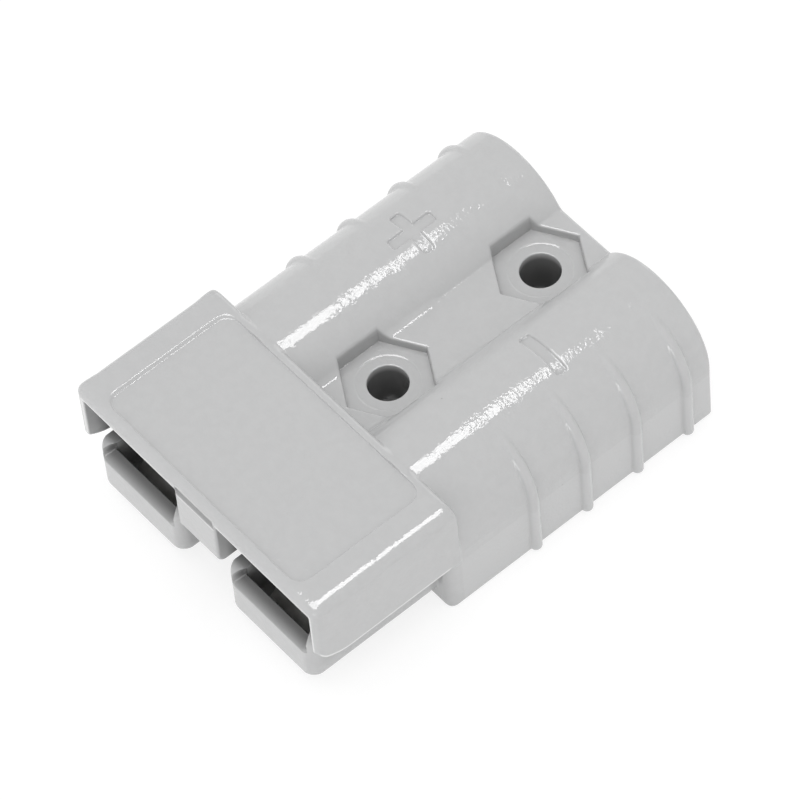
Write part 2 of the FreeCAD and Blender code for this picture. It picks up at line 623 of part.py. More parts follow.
# Nut recesses cut into the web and the barrels' flanks, a raised ring and a hole in each
for name, place in (("front", cell("first_hole")), ("back", SECOND_HOLE)):
    sketch = new_sketch(housing, f"{name}_nut_sketch", "XY_Plane", along=cell("total_height"))
    flat = number(cell("nut_across_flats")) / 2
    middle = vector("0", place)
    hexagon = []
    corners = []
    for i in range(6):
        angle = math.radians(60 * i + 30)
        spoke = FreeCAD.Vector(math.cos(angle), math.sin(angle), 0)
        corners.append(middle + spoke * (flat / math.cos(math.pi / 6)))
    for i in range(6):
        hexagon.append(sketch.addGeometry(Part.LineSegment(corners[i], corners[(i + 1) % 6])))
    guide = sketch.addGeometry(Part.Circle(middle, up, flat / math.cos(math.pi / 6)), True)
    for i in range(6):
        sketch.addConstraint(Sketcher.Constraint("Coincident", hexagon[i], 2, hexagon[(i + 1) % 6], 1))
        sketch.addConstraint(Sketcher.Constraint("PointOnObject", hexagon[i], 1, guide))
    for i in range(1, 6):
        sketch.addConstraint(Sketcher.Constraint("Equal", hexagon[0], hexagon[i]))
    sketch.addConstraint(Sketcher.Constraint("Vertical", hexagon[5]))
    sketch.addConstraint(Sketcher.Constraint("PointOnObject", guide, 3, -2))
    pin(sketch, guide, 3, y=place)
    drive(sketch, "Radius", guide, value=f"({cell('nut_across_flats')} / 2 / cos(30 deg))")
    pocket(housing, f"{name}_nut_recess", sketch, f"{cell('total_height')} - {NUT_FLOOR}")

    sketch = new_sketch(housing, f"{name}_ring_sketch", "XY_Plane", along=f"({NUT_FLOOR} - 0.5)")
    circle(sketch, "0", place, f"({cell('hole_radius')} + {cell('ring_width')})")
    pad(housing, f"{name}_ring", sketch, f"0.5 + {cell('ring_height')}")

    sketch = new_sketch(housing, f"{name}_hole_sketch", "XY_Plane", along=cell("total_height"))
    circle(sketch, "0", place, cell("hole_radius"))
    pocket(housing, f"{name}_hole", sketch, f"{cell('total_height')} + 1")


# Contacts: a turned wire barrel with a flat wiping blade in front of it
def contact(name, sign):
    body = new_body(name, f"{sign}{BARREL_CENTRE}")

    start, end = BARREL_START, f"({BARREL_START} + {cell('barrel_length')})"
    bore_end = f"({end} - {cell('wire_bore_depth')})"
    bevel = cell("wire_bore_bevel")
    stations = [
        (start, "0"),
        (start, cell("barrel_radius")),
        (end, cell("barrel_radius")),
        (end, f"({cell('wire_bore_radius')} + {bevel})"),
        (f"({end} - {bevel})", cell("wire_bore_radius")),
        (bore_end, cell("wire_bore_radius")),
        (bore_end, "0"),
    ]
    sketch = new_sketch(body, f"{name}_barrel_sketch", "YZ_Plane", up=cell("mid_height"))
    polygon(sketch, stations)
    feature(body, "Revolution", f"{name}_barrel", sketch, ReferenceAxis=(sketch, ["H_Axis"]), Angle="360")

    sketch = new_sketch(body, f"{name}_blade_sketch", "YZ_Plane")
    outline(
        sketch,
        [
            ("x", cell("blade_front")),
            ("y", BLADE_BOTTOM),
            ("x", f"({start} + 1)"),
            ("y", cell("mid_height")),
        ],
        {0: f"({cell('blade_thickness')} / 4)", 3: cell("blade_nose_radius")},
    )
    pad(body, f"{name}_blade", sketch, BLADE_WIDTH, Midplane=True)
    return body


contacts = [contact("contact_positive", "-"), contact("contact_negative", "")]


# Springs: a bowed leaf that stands on the channel floor and lifts the blade
def spring(name, sign):
    body = new_body(name, f"{sign}{BARREL_CENTRE}")
    floor = f"({cell('channel_floor')} + {cell('spring_gap')})"
    crest = f"({BLADE_BOTTOM} - {cell('spring_gap')})"
    bow = f"({crest} - {floor})"
    half = f"({cell('spring_length')} / 2)"
    outer = f"(({half} * {half} + {bow} * {bow}) / (2 * {bow}))"
    inner = f"({outer} - {cell('spring_thickness')})"
    centre_y = f"({cell('spring_front')} + {half})"
    centre_z = f"({crest} - {outer})"
    sketch = new_sketch(body, f"{name}_sketch", "YZ_Plane")
    middle = vector(centre_y, centre_z)
    drop = number(floor) - middle.y
    arcs = []
    for size in (outer, inner):
        reach = math.acos(drop / number(size))
        ring = Part.Circle(middle, up, number(size))
        arcs.append(sketch.addGeometry(Part.ArcOfCircle(ring, math.pi / 2 - reach, math.pi / 2 + reach)))
        pin(sketch, arcs[-1], 3, centre_y, centre_z)
        drive(sketch, "Radius", arcs[-1], value=size)
        pin(sketch, arcs[-1], 1, y=floor)
        pin(sketch, arcs[-1], 2, y=floor)
    for end in (1, 2):
        points = [sketch.getPoint(arc, end) for arc in arcs]
        foot = sketch.addGeometry(Part.LineSegment(*points))
        sketch.addConstraint(Sketcher.Constraint("Coincident", foot, 1, arcs[0], end))
        sketch.addConstraint(Sketcher.Constraint("Coincident", foot, 2, arcs[1], end))
    pad(body, f"{name}_leaf", sketch, cell("spring_width"), Midplane=True)
    return body


springs = [spring("spring_positive", "-"), spring("spring_negative", "")]

doc.recompute()
bodies = [housing] + contacts + springs
for item in doc.Objects:
    if "Invalid" in item.State or "Error" in item.State:
        raise RuntimeError(f"{item.Name} failed: {item.State}")
os.makedirs("parts", exist_ok=True)
for body in bodies:
    shape = body.Shape
    if shape.isNull() or not shape.isValid():
        raise RuntimeError(f"{body.Label} has no valid shape")
    shape.exportStep(os.path.join("parts", f"{body.Label}.step"))
    print(f"{body.Label}: {shape.Volume:.1f} cubic mm, {len(shape.Solids)} solid")
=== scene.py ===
import math

import bpy
import numpy as np
from mathutils import Matrix, Vector


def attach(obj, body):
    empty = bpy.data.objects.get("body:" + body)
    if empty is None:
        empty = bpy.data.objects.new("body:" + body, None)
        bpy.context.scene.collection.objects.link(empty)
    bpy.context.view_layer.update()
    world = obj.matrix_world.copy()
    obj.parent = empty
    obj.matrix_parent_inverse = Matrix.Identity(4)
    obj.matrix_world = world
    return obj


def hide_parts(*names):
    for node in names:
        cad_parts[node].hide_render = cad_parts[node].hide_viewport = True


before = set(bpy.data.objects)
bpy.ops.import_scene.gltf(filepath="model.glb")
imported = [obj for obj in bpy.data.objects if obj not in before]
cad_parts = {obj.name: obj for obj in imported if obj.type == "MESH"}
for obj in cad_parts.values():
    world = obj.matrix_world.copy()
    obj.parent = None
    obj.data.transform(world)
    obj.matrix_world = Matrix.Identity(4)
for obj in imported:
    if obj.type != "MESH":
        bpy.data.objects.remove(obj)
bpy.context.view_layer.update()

# Sizes in millimetres, with Y from the hood's front edge; the frame's origin is ORIGIN_Y further back
MM = 0.001
ORIGIN_Y = 34.2
# Hood: a plate with two side walls, whose lower edges rise in an arc to the front
TOP = 16.0
HOOD_HALF = 18.25
HOOD_BACK = 17.7
PLATE_UNDER = 14.4
WALL_INSIDE = 17.05
WALL_FOOT = 7.0
ARC_Y, ARC_Z, ARC_RADIUS = 4.0, 13.08, 6.08
PANEL_HALF, PANEL_FRONT, PANEL_BACK, PANEL_FLOOR = 14.6, 1.05, 16.6, 15.75
# Body: a block under two barrels, with a web between them
BODY_HALF = 18.2
BODY_FRONT = 16.0
BODY_END = 50.2
POLE_X, POLE_Z, BARREL_RADIUS = 10.2, 8.0, 8.0
WEB_TOP = 12.6
BORE_RADIUS, BORE_START = 4.6, 21.8
ENTRY_RADIUS, ENTRY_START = 5.75, 38.2
# Centre post, with a shallow groove across its front
POST_HALF, POST_FOOT = 3.05, 8.0
GROOVE_Y, GROOVE_Z, GROOVE_RADIUS = -0.12, 14.45, 0.6
# Tongues with their mouths and channels
TONGUE_INNER, TONGUE_OUTER, TONGUE_FRONT, TONGUE_FOOT = 3.55, 16.25, 0.1, 1.65
CHANNEL_X, CHANNEL_HALF, CHANNEL_FLOOR, CHANNEL_TOP = 10.0, 4.8, 3.0, 9.5
MOUTH_BACK, FLANK_SLOPE, SILL_TOP, SILL_SLOPE = 1.5, 0.571, 7.1, 0.786
# Screw holes, their rings and the hexagon recesses for nuts, in which HEX_HALF is half the width across flats
FIRST_HOLE, SECOND_HOLE, HOLES_APART, HOLE_RADIUS = 24.3, 44.1, 19.8, 2.1
HEX_HALF, HEX_FLOOR = 4.4, 11.6
RING_RADIUS, RING_FLOOR = 3.3, 11.55
COS_30 = 0.8660254
# Grip ribs; OUTER_HALF is half the width over them
FIRST_RIB, RIB_PITCH, LAST_RIB, RIB_RADIUS = 26.9, 6.65, 3, 0.65
RIB_ARC_X, RIB_ARC_RADIUS = 11.25, 6.95
OUTER_HALF = 18.85
# Arms of the polarity signs
PLUS_X, PLUS_Y, PLUS_REACH, PLUS_HALF = -9.8, 36.1, 2.75, 0.62
MINUS_X, MINUS_Y, MINUS_REACH, MINUS_HALF = 9.95, 35.9, 2.9, 0.6
# Pitch of the plain parts of the surface's grid
COARSE = 0.3


def join(a, b, k):
    """Signed distance to shapes a and b together, their meeting filled with radius k."""
    u = np.maximum(k - a, 0)
    v = np.maximum(k - b, 0)
    return np.maximum(np.minimum(a, b), k) - np.sqrt(u * u + v * v)


def common(a, b, k):
    """Signed distance to what shapes a and b share, its edge rounded with radius k."""
    u = np.maximum(k + a, 0)
    v = np.maximum(k + b, 0)
    return np.minimum(np.maximum(a, b), -k) + np.sqrt(u * u + v * v)


def cut(a, b, k):
    """Signed distance to shape a without shape b, its edge rounded with radius k."""
    return common(a, -b, k)


def rectangle(u, v, low_u, high_u, low_v, high_v, r=0.0):
    """Signed distance to a rectangle with corners of radius r."""
    p = np.abs(u - (low_u + high_u) / 2) - (high_u - low_u) / 2 + r
    q = np.abs(v - (low_v + high_v) / 2) - (high_v - low_v) / 2 + r
    return np.sqrt(np.maximum(p, 0) ** 2 + np.maximum(q, 0) ** 2) + np.minimum(np.maximum(p, q), 0) - r


def slab(u, low, high):
    """Signed distance to the space between two planes."""
    return np.abs(u - (low + high) / 2) - (high - low) / 2


def rise(value, start, length):
    """0 up to start, 1 from start + length on, straight between."""
    return np.clip((value - start) / length, 0.0, 1.0)


def crown(radius, out, reach):
    """How far a gently rounded face has sunk, at a distance out from where its rounding starts."""
    return radius - np.sqrt(radius**2 - np.clip(out, 0.0, reach) ** 2)


def nut_recess(side, y):
    """Place along Y from the nearer screw hole, and distance to the hexagon round it, negative inside."""
    along = np.where(y < ORIGIN_Y, y - FIRST_HOLE, y - SECOND_HOLE)
    return along, np.maximum(side, side * 0.5 + np.abs(along) * COS_30) - HEX_HALF


def body_shape(side, y, z):
    """Barrels, web and lower body."""
    barrel = np.hypot(side - POLE_X, z - POLE_Z) - BARREL_RADIUS
    block = rectangle(side, z, -BODY_HALF, BODY_HALF, 0.0, POLE_Z, 0.5)
    block = np.where(z > 4.0, side - BODY_HALF + 0 * z, block)
    block = common(block, z - POLE_Z, 0.01)
    web = common(side - POLE_X, z - WEB_TOP, 0.01)
    # The web's fillets beside the barrels fade towards the cable end
    section = join(np.minimum(block, np.maximum(web, -z)), barrel, 0.5 - 0.38 * rise(y, 33.0, 1.5))
    section = np.maximum(section, -z)
    plan = rectangle(side, y, -BODY_HALF, BODY_HALF, BODY_FRONT, 80.0, 1.3)
    body = np.maximum(common(section, BODY_FRONT - y, 0.35), plan)
    return common(body, y - BODY_END, 0.4)


def hood_shape(side, y, z):
    """Hood with its stop wall: crowned at its sides and ends, rounded along its edges."""
    end = np.maximum(y - 16.55, 1.15 - y)
    easing = crown(3.4, side - 16.6, 1.7) + crown(2.6, end, 1.15)
    corner = 0.15 + 0.6 * rise(z, 13.0, 3.0) ** 2
    plan = np.where(y < 8.0, rectangle(side, y, -HOOD_HALF, HOOD_HALF, 0.0, 40.0, 0.95),
                    rectangle(side, y, -HOOD_HALF, HOOD_HALF, -20.0, HOOD_BACK, corner))
    hood = common(z - TOP + easing, plan, 0.85 - 0.3 * rise(end, -1.6, 1.5))
    foot = np.where(y < ARC_Y, np.hypot(y - ARC_Y, z - ARC_Z) - ARC_RADIUS, WALL_FOOT - z)
    hood = common(hood, foot, 0.2)
    room = common(slab(side, -WALL_INSIDE, WALL_INSIDE), z - PLATE_UNDER, 0.15)
    return cut(hood, common(room, y - BODY_FRONT, 0.3), 0.18)


def mouth_shape(side, y, z):
    """Each tongue's channel, and the mouth whose flanks and sill slope into it."""
    middle = np.abs(side - CHANNEL_X)
    channel = common(middle - CHANNEL_HALF, CHANNEL_FLOOR - z, 0.2)
    channel = common(channel, z - np.where(y > BODY_FRONT, 8.3, CHANNEL_TOP), 0.05)
    channel = common(channel, slab(y, MOUTH_BACK, BORE_START), 0.05)
    # The divisors are the lengths of the slopes' normals
    near = MOUTH_BACK - y
    flank = (middle - CHANNEL_HALF - FLANK_SLOPE * near) / 1.152
    sill = (SILL_TOP - SILL_SLOPE * near - z) / 1.272
    mouth = common(flank, sill, 0.12 + 0.45 * np.clip(near, 0.0, MOUTH_BACK))
    mouth = common(mouth, np.maximum(y - 1.7, z - CHANNEL_TOP), 0.05)
    return np.minimum(channel, mouth)


def rib_shape(side, y, z):
    """Grip ribs: upright on the block, then bent over the barrel into which they sink."""
    turn = np.clip(np.round((y - FIRST_RIB) / RIB_PITCH), 0, LAST_RIB)
    across = y - FIRST_RIB - RIB_PITCH * turn
    straight = np.hypot(side - BODY_HALF, z - np.clip(z, RIB_RADIUS, POLE_Z))
    angle = np.clip(np.arctan2(z - POLE_Z, side - RIB_ARC_X), 0.0, 1.4)
    bent = np.hypot(
        side - RIB_ARC_X - RIB_ARC_RADIUS * np.cos(angle), z - POLE_Z - RIB_ARC_RADIUS * np.sin(angle)
    )
    return np.hypot(np.where(z < POLE_Z, straight, bent), across) - RIB_RADIUS


def sign_shape(x, y):
    """Outlines of the plus and the minus."""
    plus_x, plus_y = np.abs(x - PLUS_X), np.abs(y - PLUS_Y)
    return np.minimum(
        np.minimum(
            rectangle(plus_x, plus_y, -PLUS_REACH, PLUS_REACH, -PLUS_HALF, PLUS_HALF, 0.3),
            rectangle(plus_x, plus_y, -PLUS_HALF, PLUS_HALF, -PLUS_REACH, PLUS_REACH, 0.3),
        ),
        rectangle(x - MINUS_X, y - MINUS_Y, -MINUS_REACH, MINUS_REACH, -MINUS_HALF, MINUS_HALF, 0.3),
    )


def housing_shape(x, y, z):
    """Signed distance to the moulding."""
    side = np.abs(x)
    shape = join(hood_shape(side, y, z), body_shape(side, y, z), 0.25)
    # Post with its groove
    post = rectangle(y, z, 0.0, 30.0, POST_FOOT, 30.0, 1.0)
    post = common(post, side - POST_HALF, 0.3)
    post = common(post, np.maximum(z - 15.0, y - 16.5), 0.05)
    shape = join(shape, post, 0.2)
    groove = common(np.hypot(y - GROOVE_Y, z - GROOVE_Z) - GROOVE_RADIUS, side - 2.85, 0.1)
    shape = cut(shape, groove, 0.12)
    # Tongues with their mouths and channels
    tongue = rectangle(side, y, TONGUE_INNER, TONGUE_OUTER, TONGUE_FRONT, 30.0, 1.5)
    height = rectangle(y, z, TONGUE_FRONT, 40.0, -8.0, POLE_Z, 1.5)
    tongue = common(tongue, np.maximum(height, y - 17.0), 0.12)
    tongue = common(tongue, TONGUE_FOOT - z, 0.85)
    shape = join(shape, tongue, 0.15)
    shape = cut(shape, mouth_shape(side, y, z), 0.12)
    # Bores for the contacts and entries for the cables
    axis = np.hypot(side - POLE_X, z - POLE_Z)
    bore = np.maximum(axis - BORE_RADIUS, BORE_START - y)
    entry = np.maximum(axis - ENTRY_RADIUS, ENTRY_START - y)
    shape = cut(shape, np.minimum(bore, entry), 0.3)
    # Label panel, whose step is softer on the plus side
    panel = rectangle(side, y, -PANEL_HALF, PANEL_HALF, PANEL_FRONT, PANEL_BACK, 1.6)
    soft = rise(-x, 12.8, 1.6)
    panel = common(panel, PANEL_FLOOR + 0.028 * soft - z, 0.06 + 0.08 * soft)
    shape = cut(shape, panel, 0.12 + 0.31 * soft)
    # Nut recesses, rings and screw holes
    along, hexagon = nut_recess(side, y)
    shape = cut(shape, common(hexagon, HEX_FLOOR - z, 0.03), 0.32)
    reach = np.hypot(side, along)
    shape = cut(shape, common(reach - RING_RADIUS, RING_FLOOR - z, 0.12), 0.12)
    shape = cut(shape, reach - HOLE_RADIUS, 0.16)
    shape = join(shape, rib_shape(side, y, z), 0.12)
    # The signs are sunk into the barrels
    sign = common(sign_shape(x, y), np.maximum(7.7 - axis, POLE_Z - z), 0.08)
    return cut(shape, sign, 0.22)


def slope(points):
    """Unit gradient of the shape at some points."""
    step = 0.02
    result = np.empty_like(points)
    for i in range(3):
        ahead, behind = points.copy(), points.copy()
        ahead[:, i] += step
        behind[:, i] -= step
        result[:, i] = housing_shape(*ahead.T) - housing_shape(*behind.T)
    length = np.linalg.norm(result, axis=1, keepdims=True)
    return result / np.maximum(length, 1e-9)


def ticks(low, high, coarse, fine):
    """Grid positions from low to high: coarse steps that grow from small ones round each fine place."""
    places = [low]
    while places[-1] < high:
        here = places[-1]
        step = coarse
        for centre, half, pitch in fine:
            step = min(step, pitch + 0.3 * max(abs(here + 0.5 * pitch - centre) - half, 0.0))
        places.append(here + step)
    return np.array(places)


def finer(places):
    """The fine places with a smaller pitch, which the curves across and along need."""
    return [(centre, half, 0.85 * pitch) for centre, half, pitch in places]


def grid_lines():
    """Grid positions in x, y and z, closer together at the moulding's small steps and roundings."""
    # Each fine place is given by its centre, half its width and the pitch there
    across = [
        (0.0, 3.5, 0.19), (POST_HALF, 0.1, 0.1), (3.7, 0.2, 0.13), (HEX_HALF, 0.1, 0.1), (5.2, 0.1, 0.12),
        (14.7, 0.2, 0.1), (TONGUE_OUTER, 0.1, 0.12), (WALL_INSIDE, 0.1, 0.12), (17.9, 0.4, 0.13),
        (18.7, 0.2, 0.13),
        # Ends and arms of the signs
        (9.18, 0.05, 0.1), (10.42, 0.05, 0.1), (7.05, 0.05, 0.1), (12.55, 0.3, 0.1),
    ]
    half = ticks(0.08, 19.3, COARSE, finer(across))
    xs = np.concatenate([-half[::-1], half])
    along = [
        (0.3, 0.35, 0.12), (PANEL_FRONT, 0.08, 0.08), (1.6, 0.1, 0.12), (BODY_FRONT, 0.1, 0.1),
        (PANEL_BACK, 0.1, 0.08), (17.75, 0.2, 0.1), (BORE_START, 0.1, 0.12), (50.1, 0.3, 0.12),
        (ENTRY_START, 0.1, 0.15), (35.48, 0.1, 0.1), (36.6, 0.15, 0.1), (33.35, 0.05, 0.1), (38.85, 0.05, 0.1),
        (FIRST_HOLE, 5.2, 0.19), (SECOND_HOLE, 5.2, 0.19),
    ]
    along += [(FIRST_RIB + RIB_PITCH * i, 0.9, 0.19) for i in range(LAST_RIB + 1)]
    ys = ticks(-0.6, 50.9, COARSE, finer(along))
    up = [
        (0.2, 0.3, 0.13), (TONGUE_FOOT, 0.1, 0.12), (CHANNEL_FLOOR, 0.1, 0.12), (7.05, 0.15, 0.12),
        (POLE_Z, 0.2, 0.12), (11.57, 0.1, 0.05), (12.55, 0.15, 0.1), (PLATE_UNDER, 0.15, 0.1), (15.87, 0.24, 0.06),
    ]
    zs = ticks(-0.57, 16.3, COARSE, up)
    return xs, ys, zs


def crossing(low, high):
    """Where the surface crosses some straight lines from low to high."""
    low_value, high_value = housing_shape(*low.T), housing_shape(*high.T)
    for _ in range(3):
        share = np.clip(low_value / (low_value - high_value), 0.02, 0.98)[:, None]
        place = low + share * (high - low)
        value = housing_shape(*place.T)
        same = (value < 0) == (low_value < 0)
        low = np.where(same[:, None], place, low)
        high = np.where(same[:, None], high, place)
        low_value, high_value = np.where(same, value, low_value), np.where(same, high_value, value)
    return low + (low_value / (low_value - high_value))[:, None] * (high - low)


def net_surface(lines):
    """Points and quads of the moulding's surface: one point for each grid cell that it crosses."""
    counts = [len(line) for line in lines]
    xs, ys, zs = lines
    field = np.empty(counts, np.float32)
    for start in range(0, counts[1], 24):
        part = ys[start:start + 24]
        field[:, start:start + 24] = housing_shape(xs[:, None, None], part[None, :, None], zs[None, None, :])
    inside = field < 0
    found, places, cells = [], [], []
    for axis in range(3):
        first = [slice(None)] * 3
        second = [slice(None)] * 3
        first[axis], second[axis] = slice(None, -1), slice(1, None)
        at = np.argwhere(inside[tuple(first)] != inside[tuple(second)])
        beyond = at.copy()
        beyond[:, axis] += 1
        low = np.stack([lines[i][at[:, i]] for i in range(3)], 1)
        high = np.stack([lines[i][beyond[:, i]] for i in range(3)], 1)
        places.append(crossing(low, high))
        found.append((at, inside[tuple(at.T)]))
    shape = np.array(counts) - 1
    places = np.concatenate(places)
    faces = slope(places)
    # The four cells round each crossed grid edge, in order round it
    for axis in range(3):
        u, v = [i for i in range(3) if i != axis]
        at = found[axis][0]
        around = []
        for back_u, back_v in ((1, 1), (0, 1), (0, 0), (1, 0)):
            cell = at.copy()
            cell[:, u] -= back_u
            cell[:, v] -= back_v
            around.append(np.ravel_multi_index(tuple(cell.T), shape))
        cells.append(np.stack(around, 1))
    names, ring = np.unique(np.concatenate(cells), return_inverse=True)
    ring = ring.reshape(-1, 4)
    size = len(names)
    share = np.bincount(ring.ravel(), minlength=size)
    middle = np.stack([np.bincount(ring.ravel(), np.repeat(places[:, i], 4), size) / share for i in range(3)], 1)
    # Each point is placed where the tangent planes of its cell's crossings meet
    system = np.zeros((size, 3, 3))
    goal = np.zeros((size, 3))
    for corner in range(4):
        index = ring[:, corner]
        gap = ((places - middle[index]) * faces).sum(1)
        for i in range(3):
            goal[:, i] += np.bincount(index, faces[:, i] * gap, size)
            for j in range(3):
                system[:, i, j] += np.bincount(index, faces[:, i] * faces[:, j], size)
    system += np.eye(3) * 0.03 * share[:, None, None]
    points = middle + np.linalg.solve(system, goal[:, :, None])[:, :, 0]
    corner = np.stack(np.unravel_index(names, shape), 1)
    for i in range(3):
        low, high = lines[i][corner[:, i]], lines[i][corner[:, i] + 1]
        points[:, i] = np.clip(points[:, i], low, high)
    flip = np.concatenate([found[axis][1] == (axis == 1) for axis in range(3)])
    ring[flip] = ring[flip][:, ::-1]
    return points, ring


def settled(points):
    """Points that strayed far from the surface are brought back to it."""
    for _ in range(4):
        away = housing_shape(*points.T)
        stray = np.abs(away) > 0.05
        if not stray.any():
            break
        moved = points[stray]
        points[stray] = moved - away[stray][:, None] * slope(moved)
    return np.clip(points, (-OUTER_HALF, 0.0, 0.0), (OUTER_HALF, BODY_END, TOP))


def strips(points, quads, normals):
    """The quads joined into long faces wherever the surface runs straight, so that only its curves stay dense."""
    size = len(points)
    ends = np.roll(quads, -1, 1)
    names, edge = np.unique(np.minimum(quads, ends) * size + np.maximum(quads, ends), return_inverse=True)
    edge = edge.reshape(-1, 4)
    # A quad may be crossed from one edge to the opposite one where the normals don't change on the way
    side = np.roll(points[quads], -1, 1) - points[quads]
    still = np.linalg.norm(normals[ends] - normals[quads], axis=2) < 0.004
    still = np.stack([still[:, 1] & still[:, 3], still[:, 0] & still[:, 2]], 1)
    way = np.abs(np.stack([side[:, 1], side[:, 0]], 1))
    wish = still * (1.0 + way[:, :, 1] / way.sum(2) + 0.1 * way[:, :, 0] / way.sum(2))
    choice = np.where(still.any(1), wish.argmax(1), -1)
    order = np.argsort(edge.ravel(), kind="stable")
    first = np.searchsorted(edge.ravel()[order], np.arange(len(names)))
    paired = np.bincount(edge.ravel(), minlength=len(names)) == 2
    pair = np.stack([order[first[paired]], order[first[paired] + 1]], 1)
    quad, corner = pair // 4, pair % 4
    face = np.cross(points[quads[:, 2]] - points[quads[:, 0]], points[quads[:, 3]] - points[quads[:, 1]])
    face /= np.maximum(np.linalg.norm(face, axis=1, keepdims=True), 1e-12)
    good = (choice[quad] == corner % 2).all(1) & ((face[quad[:, 0]] * face[quad[:, 1]]).sum(1) > 0.99999)
    for here, there, middle in ((-1, 2, 0), (2, -1, 1)):
        before = points[quads[quad[:, 0], (corner[:, 0] + here) % 4]]
        after = points[quads[quad[:, 1], (corner[:, 1] + there) % 4]]
        at = points[quads[quad[:, 0], (corner[:, 0] + middle) % 4]]
        bend = np.linalg.norm(np.cross(at - before, after - at), axis=1)
        length = np.linalg.norm(at - before, axis=1) * np.linalg.norm(after - at, axis=1)
        good &= bend < 0.003 * length
    gone = np.zeros(len(names), bool)
    gone[np.flatnonzero(paired)[good]] = True
    # Each chain of joined quads gets one label
    label = list(range(len(quads)))

    def root(i):
        while label[i] != i:
            label[i] = label[label[i]]
            i = label[i]
        return i

    for a, b in quad[good].tolist():
        label[root(a)] = root(b)
    label = np.array([root(i) for i in range(len(quads))])
    stays = ~gone
    degree = np.bincount(np.concatenate([names[stays] // size, names[stays] % size]), minlength=size)
    passed = (degree == 2).tolist()
    rim = ~gone[edge]
    owner = np.repeat(label, 4).reshape(-1, 4)[rim]
    onward = {}
    for strip, start, end in zip(owner.tolist(), quads[rim].tolist(), ends[rim].tolist()):
        onward.setdefault(strip, {})[start] = end
    faces = []
    for chain in onward.values():
        start = here = next(iter(chain))
        loop = []
        while True:
            if not passed[here]:
                loop.append(here)
            here = chain[here]
            if here == start:
                break
        faces.append(loop)
    return faces


def housing_mesh():
    """The moulding's surface as a mesh, with the shape's own slopes as its normals."""
    points, quads = net_surface(grid_lines())
    points = settled(points)
    normals = slope(points)
    # The floors of the nut recesses meet their walls in a sharp edge
    hexagon = nut_recess(np.abs(points[:, 0]), points[:, 1])[1]
    foot = (np.abs(points[:, 2] - HEX_FLOOR) < 0.03) & (np.abs(hexagon) < 0.06)
    normals[foot] = (0.0, 0.0, 1.0)
    faces = strips(points, quads, normals)
    used, flat = np.unique(np.concatenate([np.array(loop) for loop in faces]), return_inverse=True)
    totals = np.array([len(loop) for loop in faces], np.int32)
    mesh = bpy.data.meshes.new("housing_skin")
    mesh.vertices.add(len(used))
    placed = (points[used] - [0, ORIGIN_Y, 0]) * MM
    mesh.vertices.foreach_set("co", placed.astype(np.float32).ravel())
    mesh.loops.add(len(flat))
    mesh.loops.foreach_set("vertex_index", flat.astype(np.int32).ravel())
    mesh.polygons.add(len(faces))
    mesh.polygons.foreach_set("loop_start", np.concatenate([[0], np.cumsum(totals)[:-1]]).astype(np.int32))
    mesh.polygons.foreach_set("loop_total", totals)
    mesh.update()
    mesh.shade_smooth()
    mesh.normals_split_custom_set_from_vertices(normals[used].tolist())
    return mesh


def math_node(tree, operation, a, b=None):
    """Result of a Math node; a and b are numbers or sockets."""
    item = tree.nodes.new("ShaderNodeMath")
    item.operation = operation
    for i, value in enumerate((a, b)):
        if value is None:
            continue
        if isinstance(value, (int, float)):
            item.inputs[i].default_value = value
        else:
            tree.links.new(value, item.inputs[i])
    return item.outputs[0]


def product(tree, first, *others):
    for other in others:
        first = math_node(tree, "MULTIPLY", first, other)
    return first


def total(tree, first, *others):
    for other in others:
        first = math_node(tree, "ADD", first, other)
    return first


def largest(tree, first, *others):
    for other in others:
        first = math_node(tree, "MAXIMUM", first, other)
    return first


def less(tree, a, b):
    return math_node(tree, "SUBTRACT", a, b)


def radius_of(tree, a, b):
    """Distance from the axis on which a and b are zero."""
    return math_node(tree, "POWER", total(tree, product(tree, a, a), product(tree, b, b)), 0.5)


def ramp(tree, value, start, end):
    """0 at start, 1 at end, smooth between."""
    item = tree.nodes.new("ShaderNodeMapRange")
    item.interpolation_type = "SMOOTHSTEP"
    item.inputs["From Min"].default_value = start
    item.inputs["From Max"].default_value = end
    tree.links.new(value, item.inputs["Value"])
    return item.outputs["Result"]


def mask(tree, *limits):
    """Product of ramps, each given by its value, where it starts and where it is full."""
    return product(tree, *[ramp(tree, *limit) for limit in limits])


def object_coordinates(tree):
    return tree.nodes.new("ShaderNodeTexCoord").outputs["Object"]


def place_of(tree, coords):
    """The part's own coordinates in millimetres, Y from the hood's front edge: x, |x|, y, z."""
    split = tree.nodes.new("ShaderNodeSeparateXYZ")
    tree.links.new(coords, split.inputs[0])
    x, y, z = (product(tree, output, 1 / MM) for output in split.outputs)
    return x, math_node(tree, "ABSOLUTE", x), total(tree, y, ORIGIN_Y), z


def noise(tree, coords, scale, detail, roughness=0.5):
    item = tree.nodes.new("ShaderNodeTexNoise")
    item.inputs["Scale"].default_value = scale
    item.inputs["Detail"].default_value = detail
    item.inputs["Roughness"].default_value = roughness
    tree.links.new(coords, item.inputs["Vector"])
    return item.outputs["Fac"]


def mix_colour(tree, factor, a, b):
    """Colour a where the factor is 0, b where it is 1; each is a tuple or a socket."""
    item = tree.nodes.new("ShaderNodeMix")
    item.data_type = "RGBA"
    tree.links.new(factor, item.inputs[0])
    for i, value in ((6, a), (7, b)):
        if isinstance(value, tuple):
            item.inputs[i].default_value = value
        else:
            tree.links.new(value, item.inputs[i])
    return item.outputs[2]


def grey(value):
    return (value, value, value, 1)


def new_material(name):
    material = bpy.data.materials.new(name)
    material.use_nodes = True
    return material, material.node_tree, material.node_tree.nodes["Principled BSDF"]


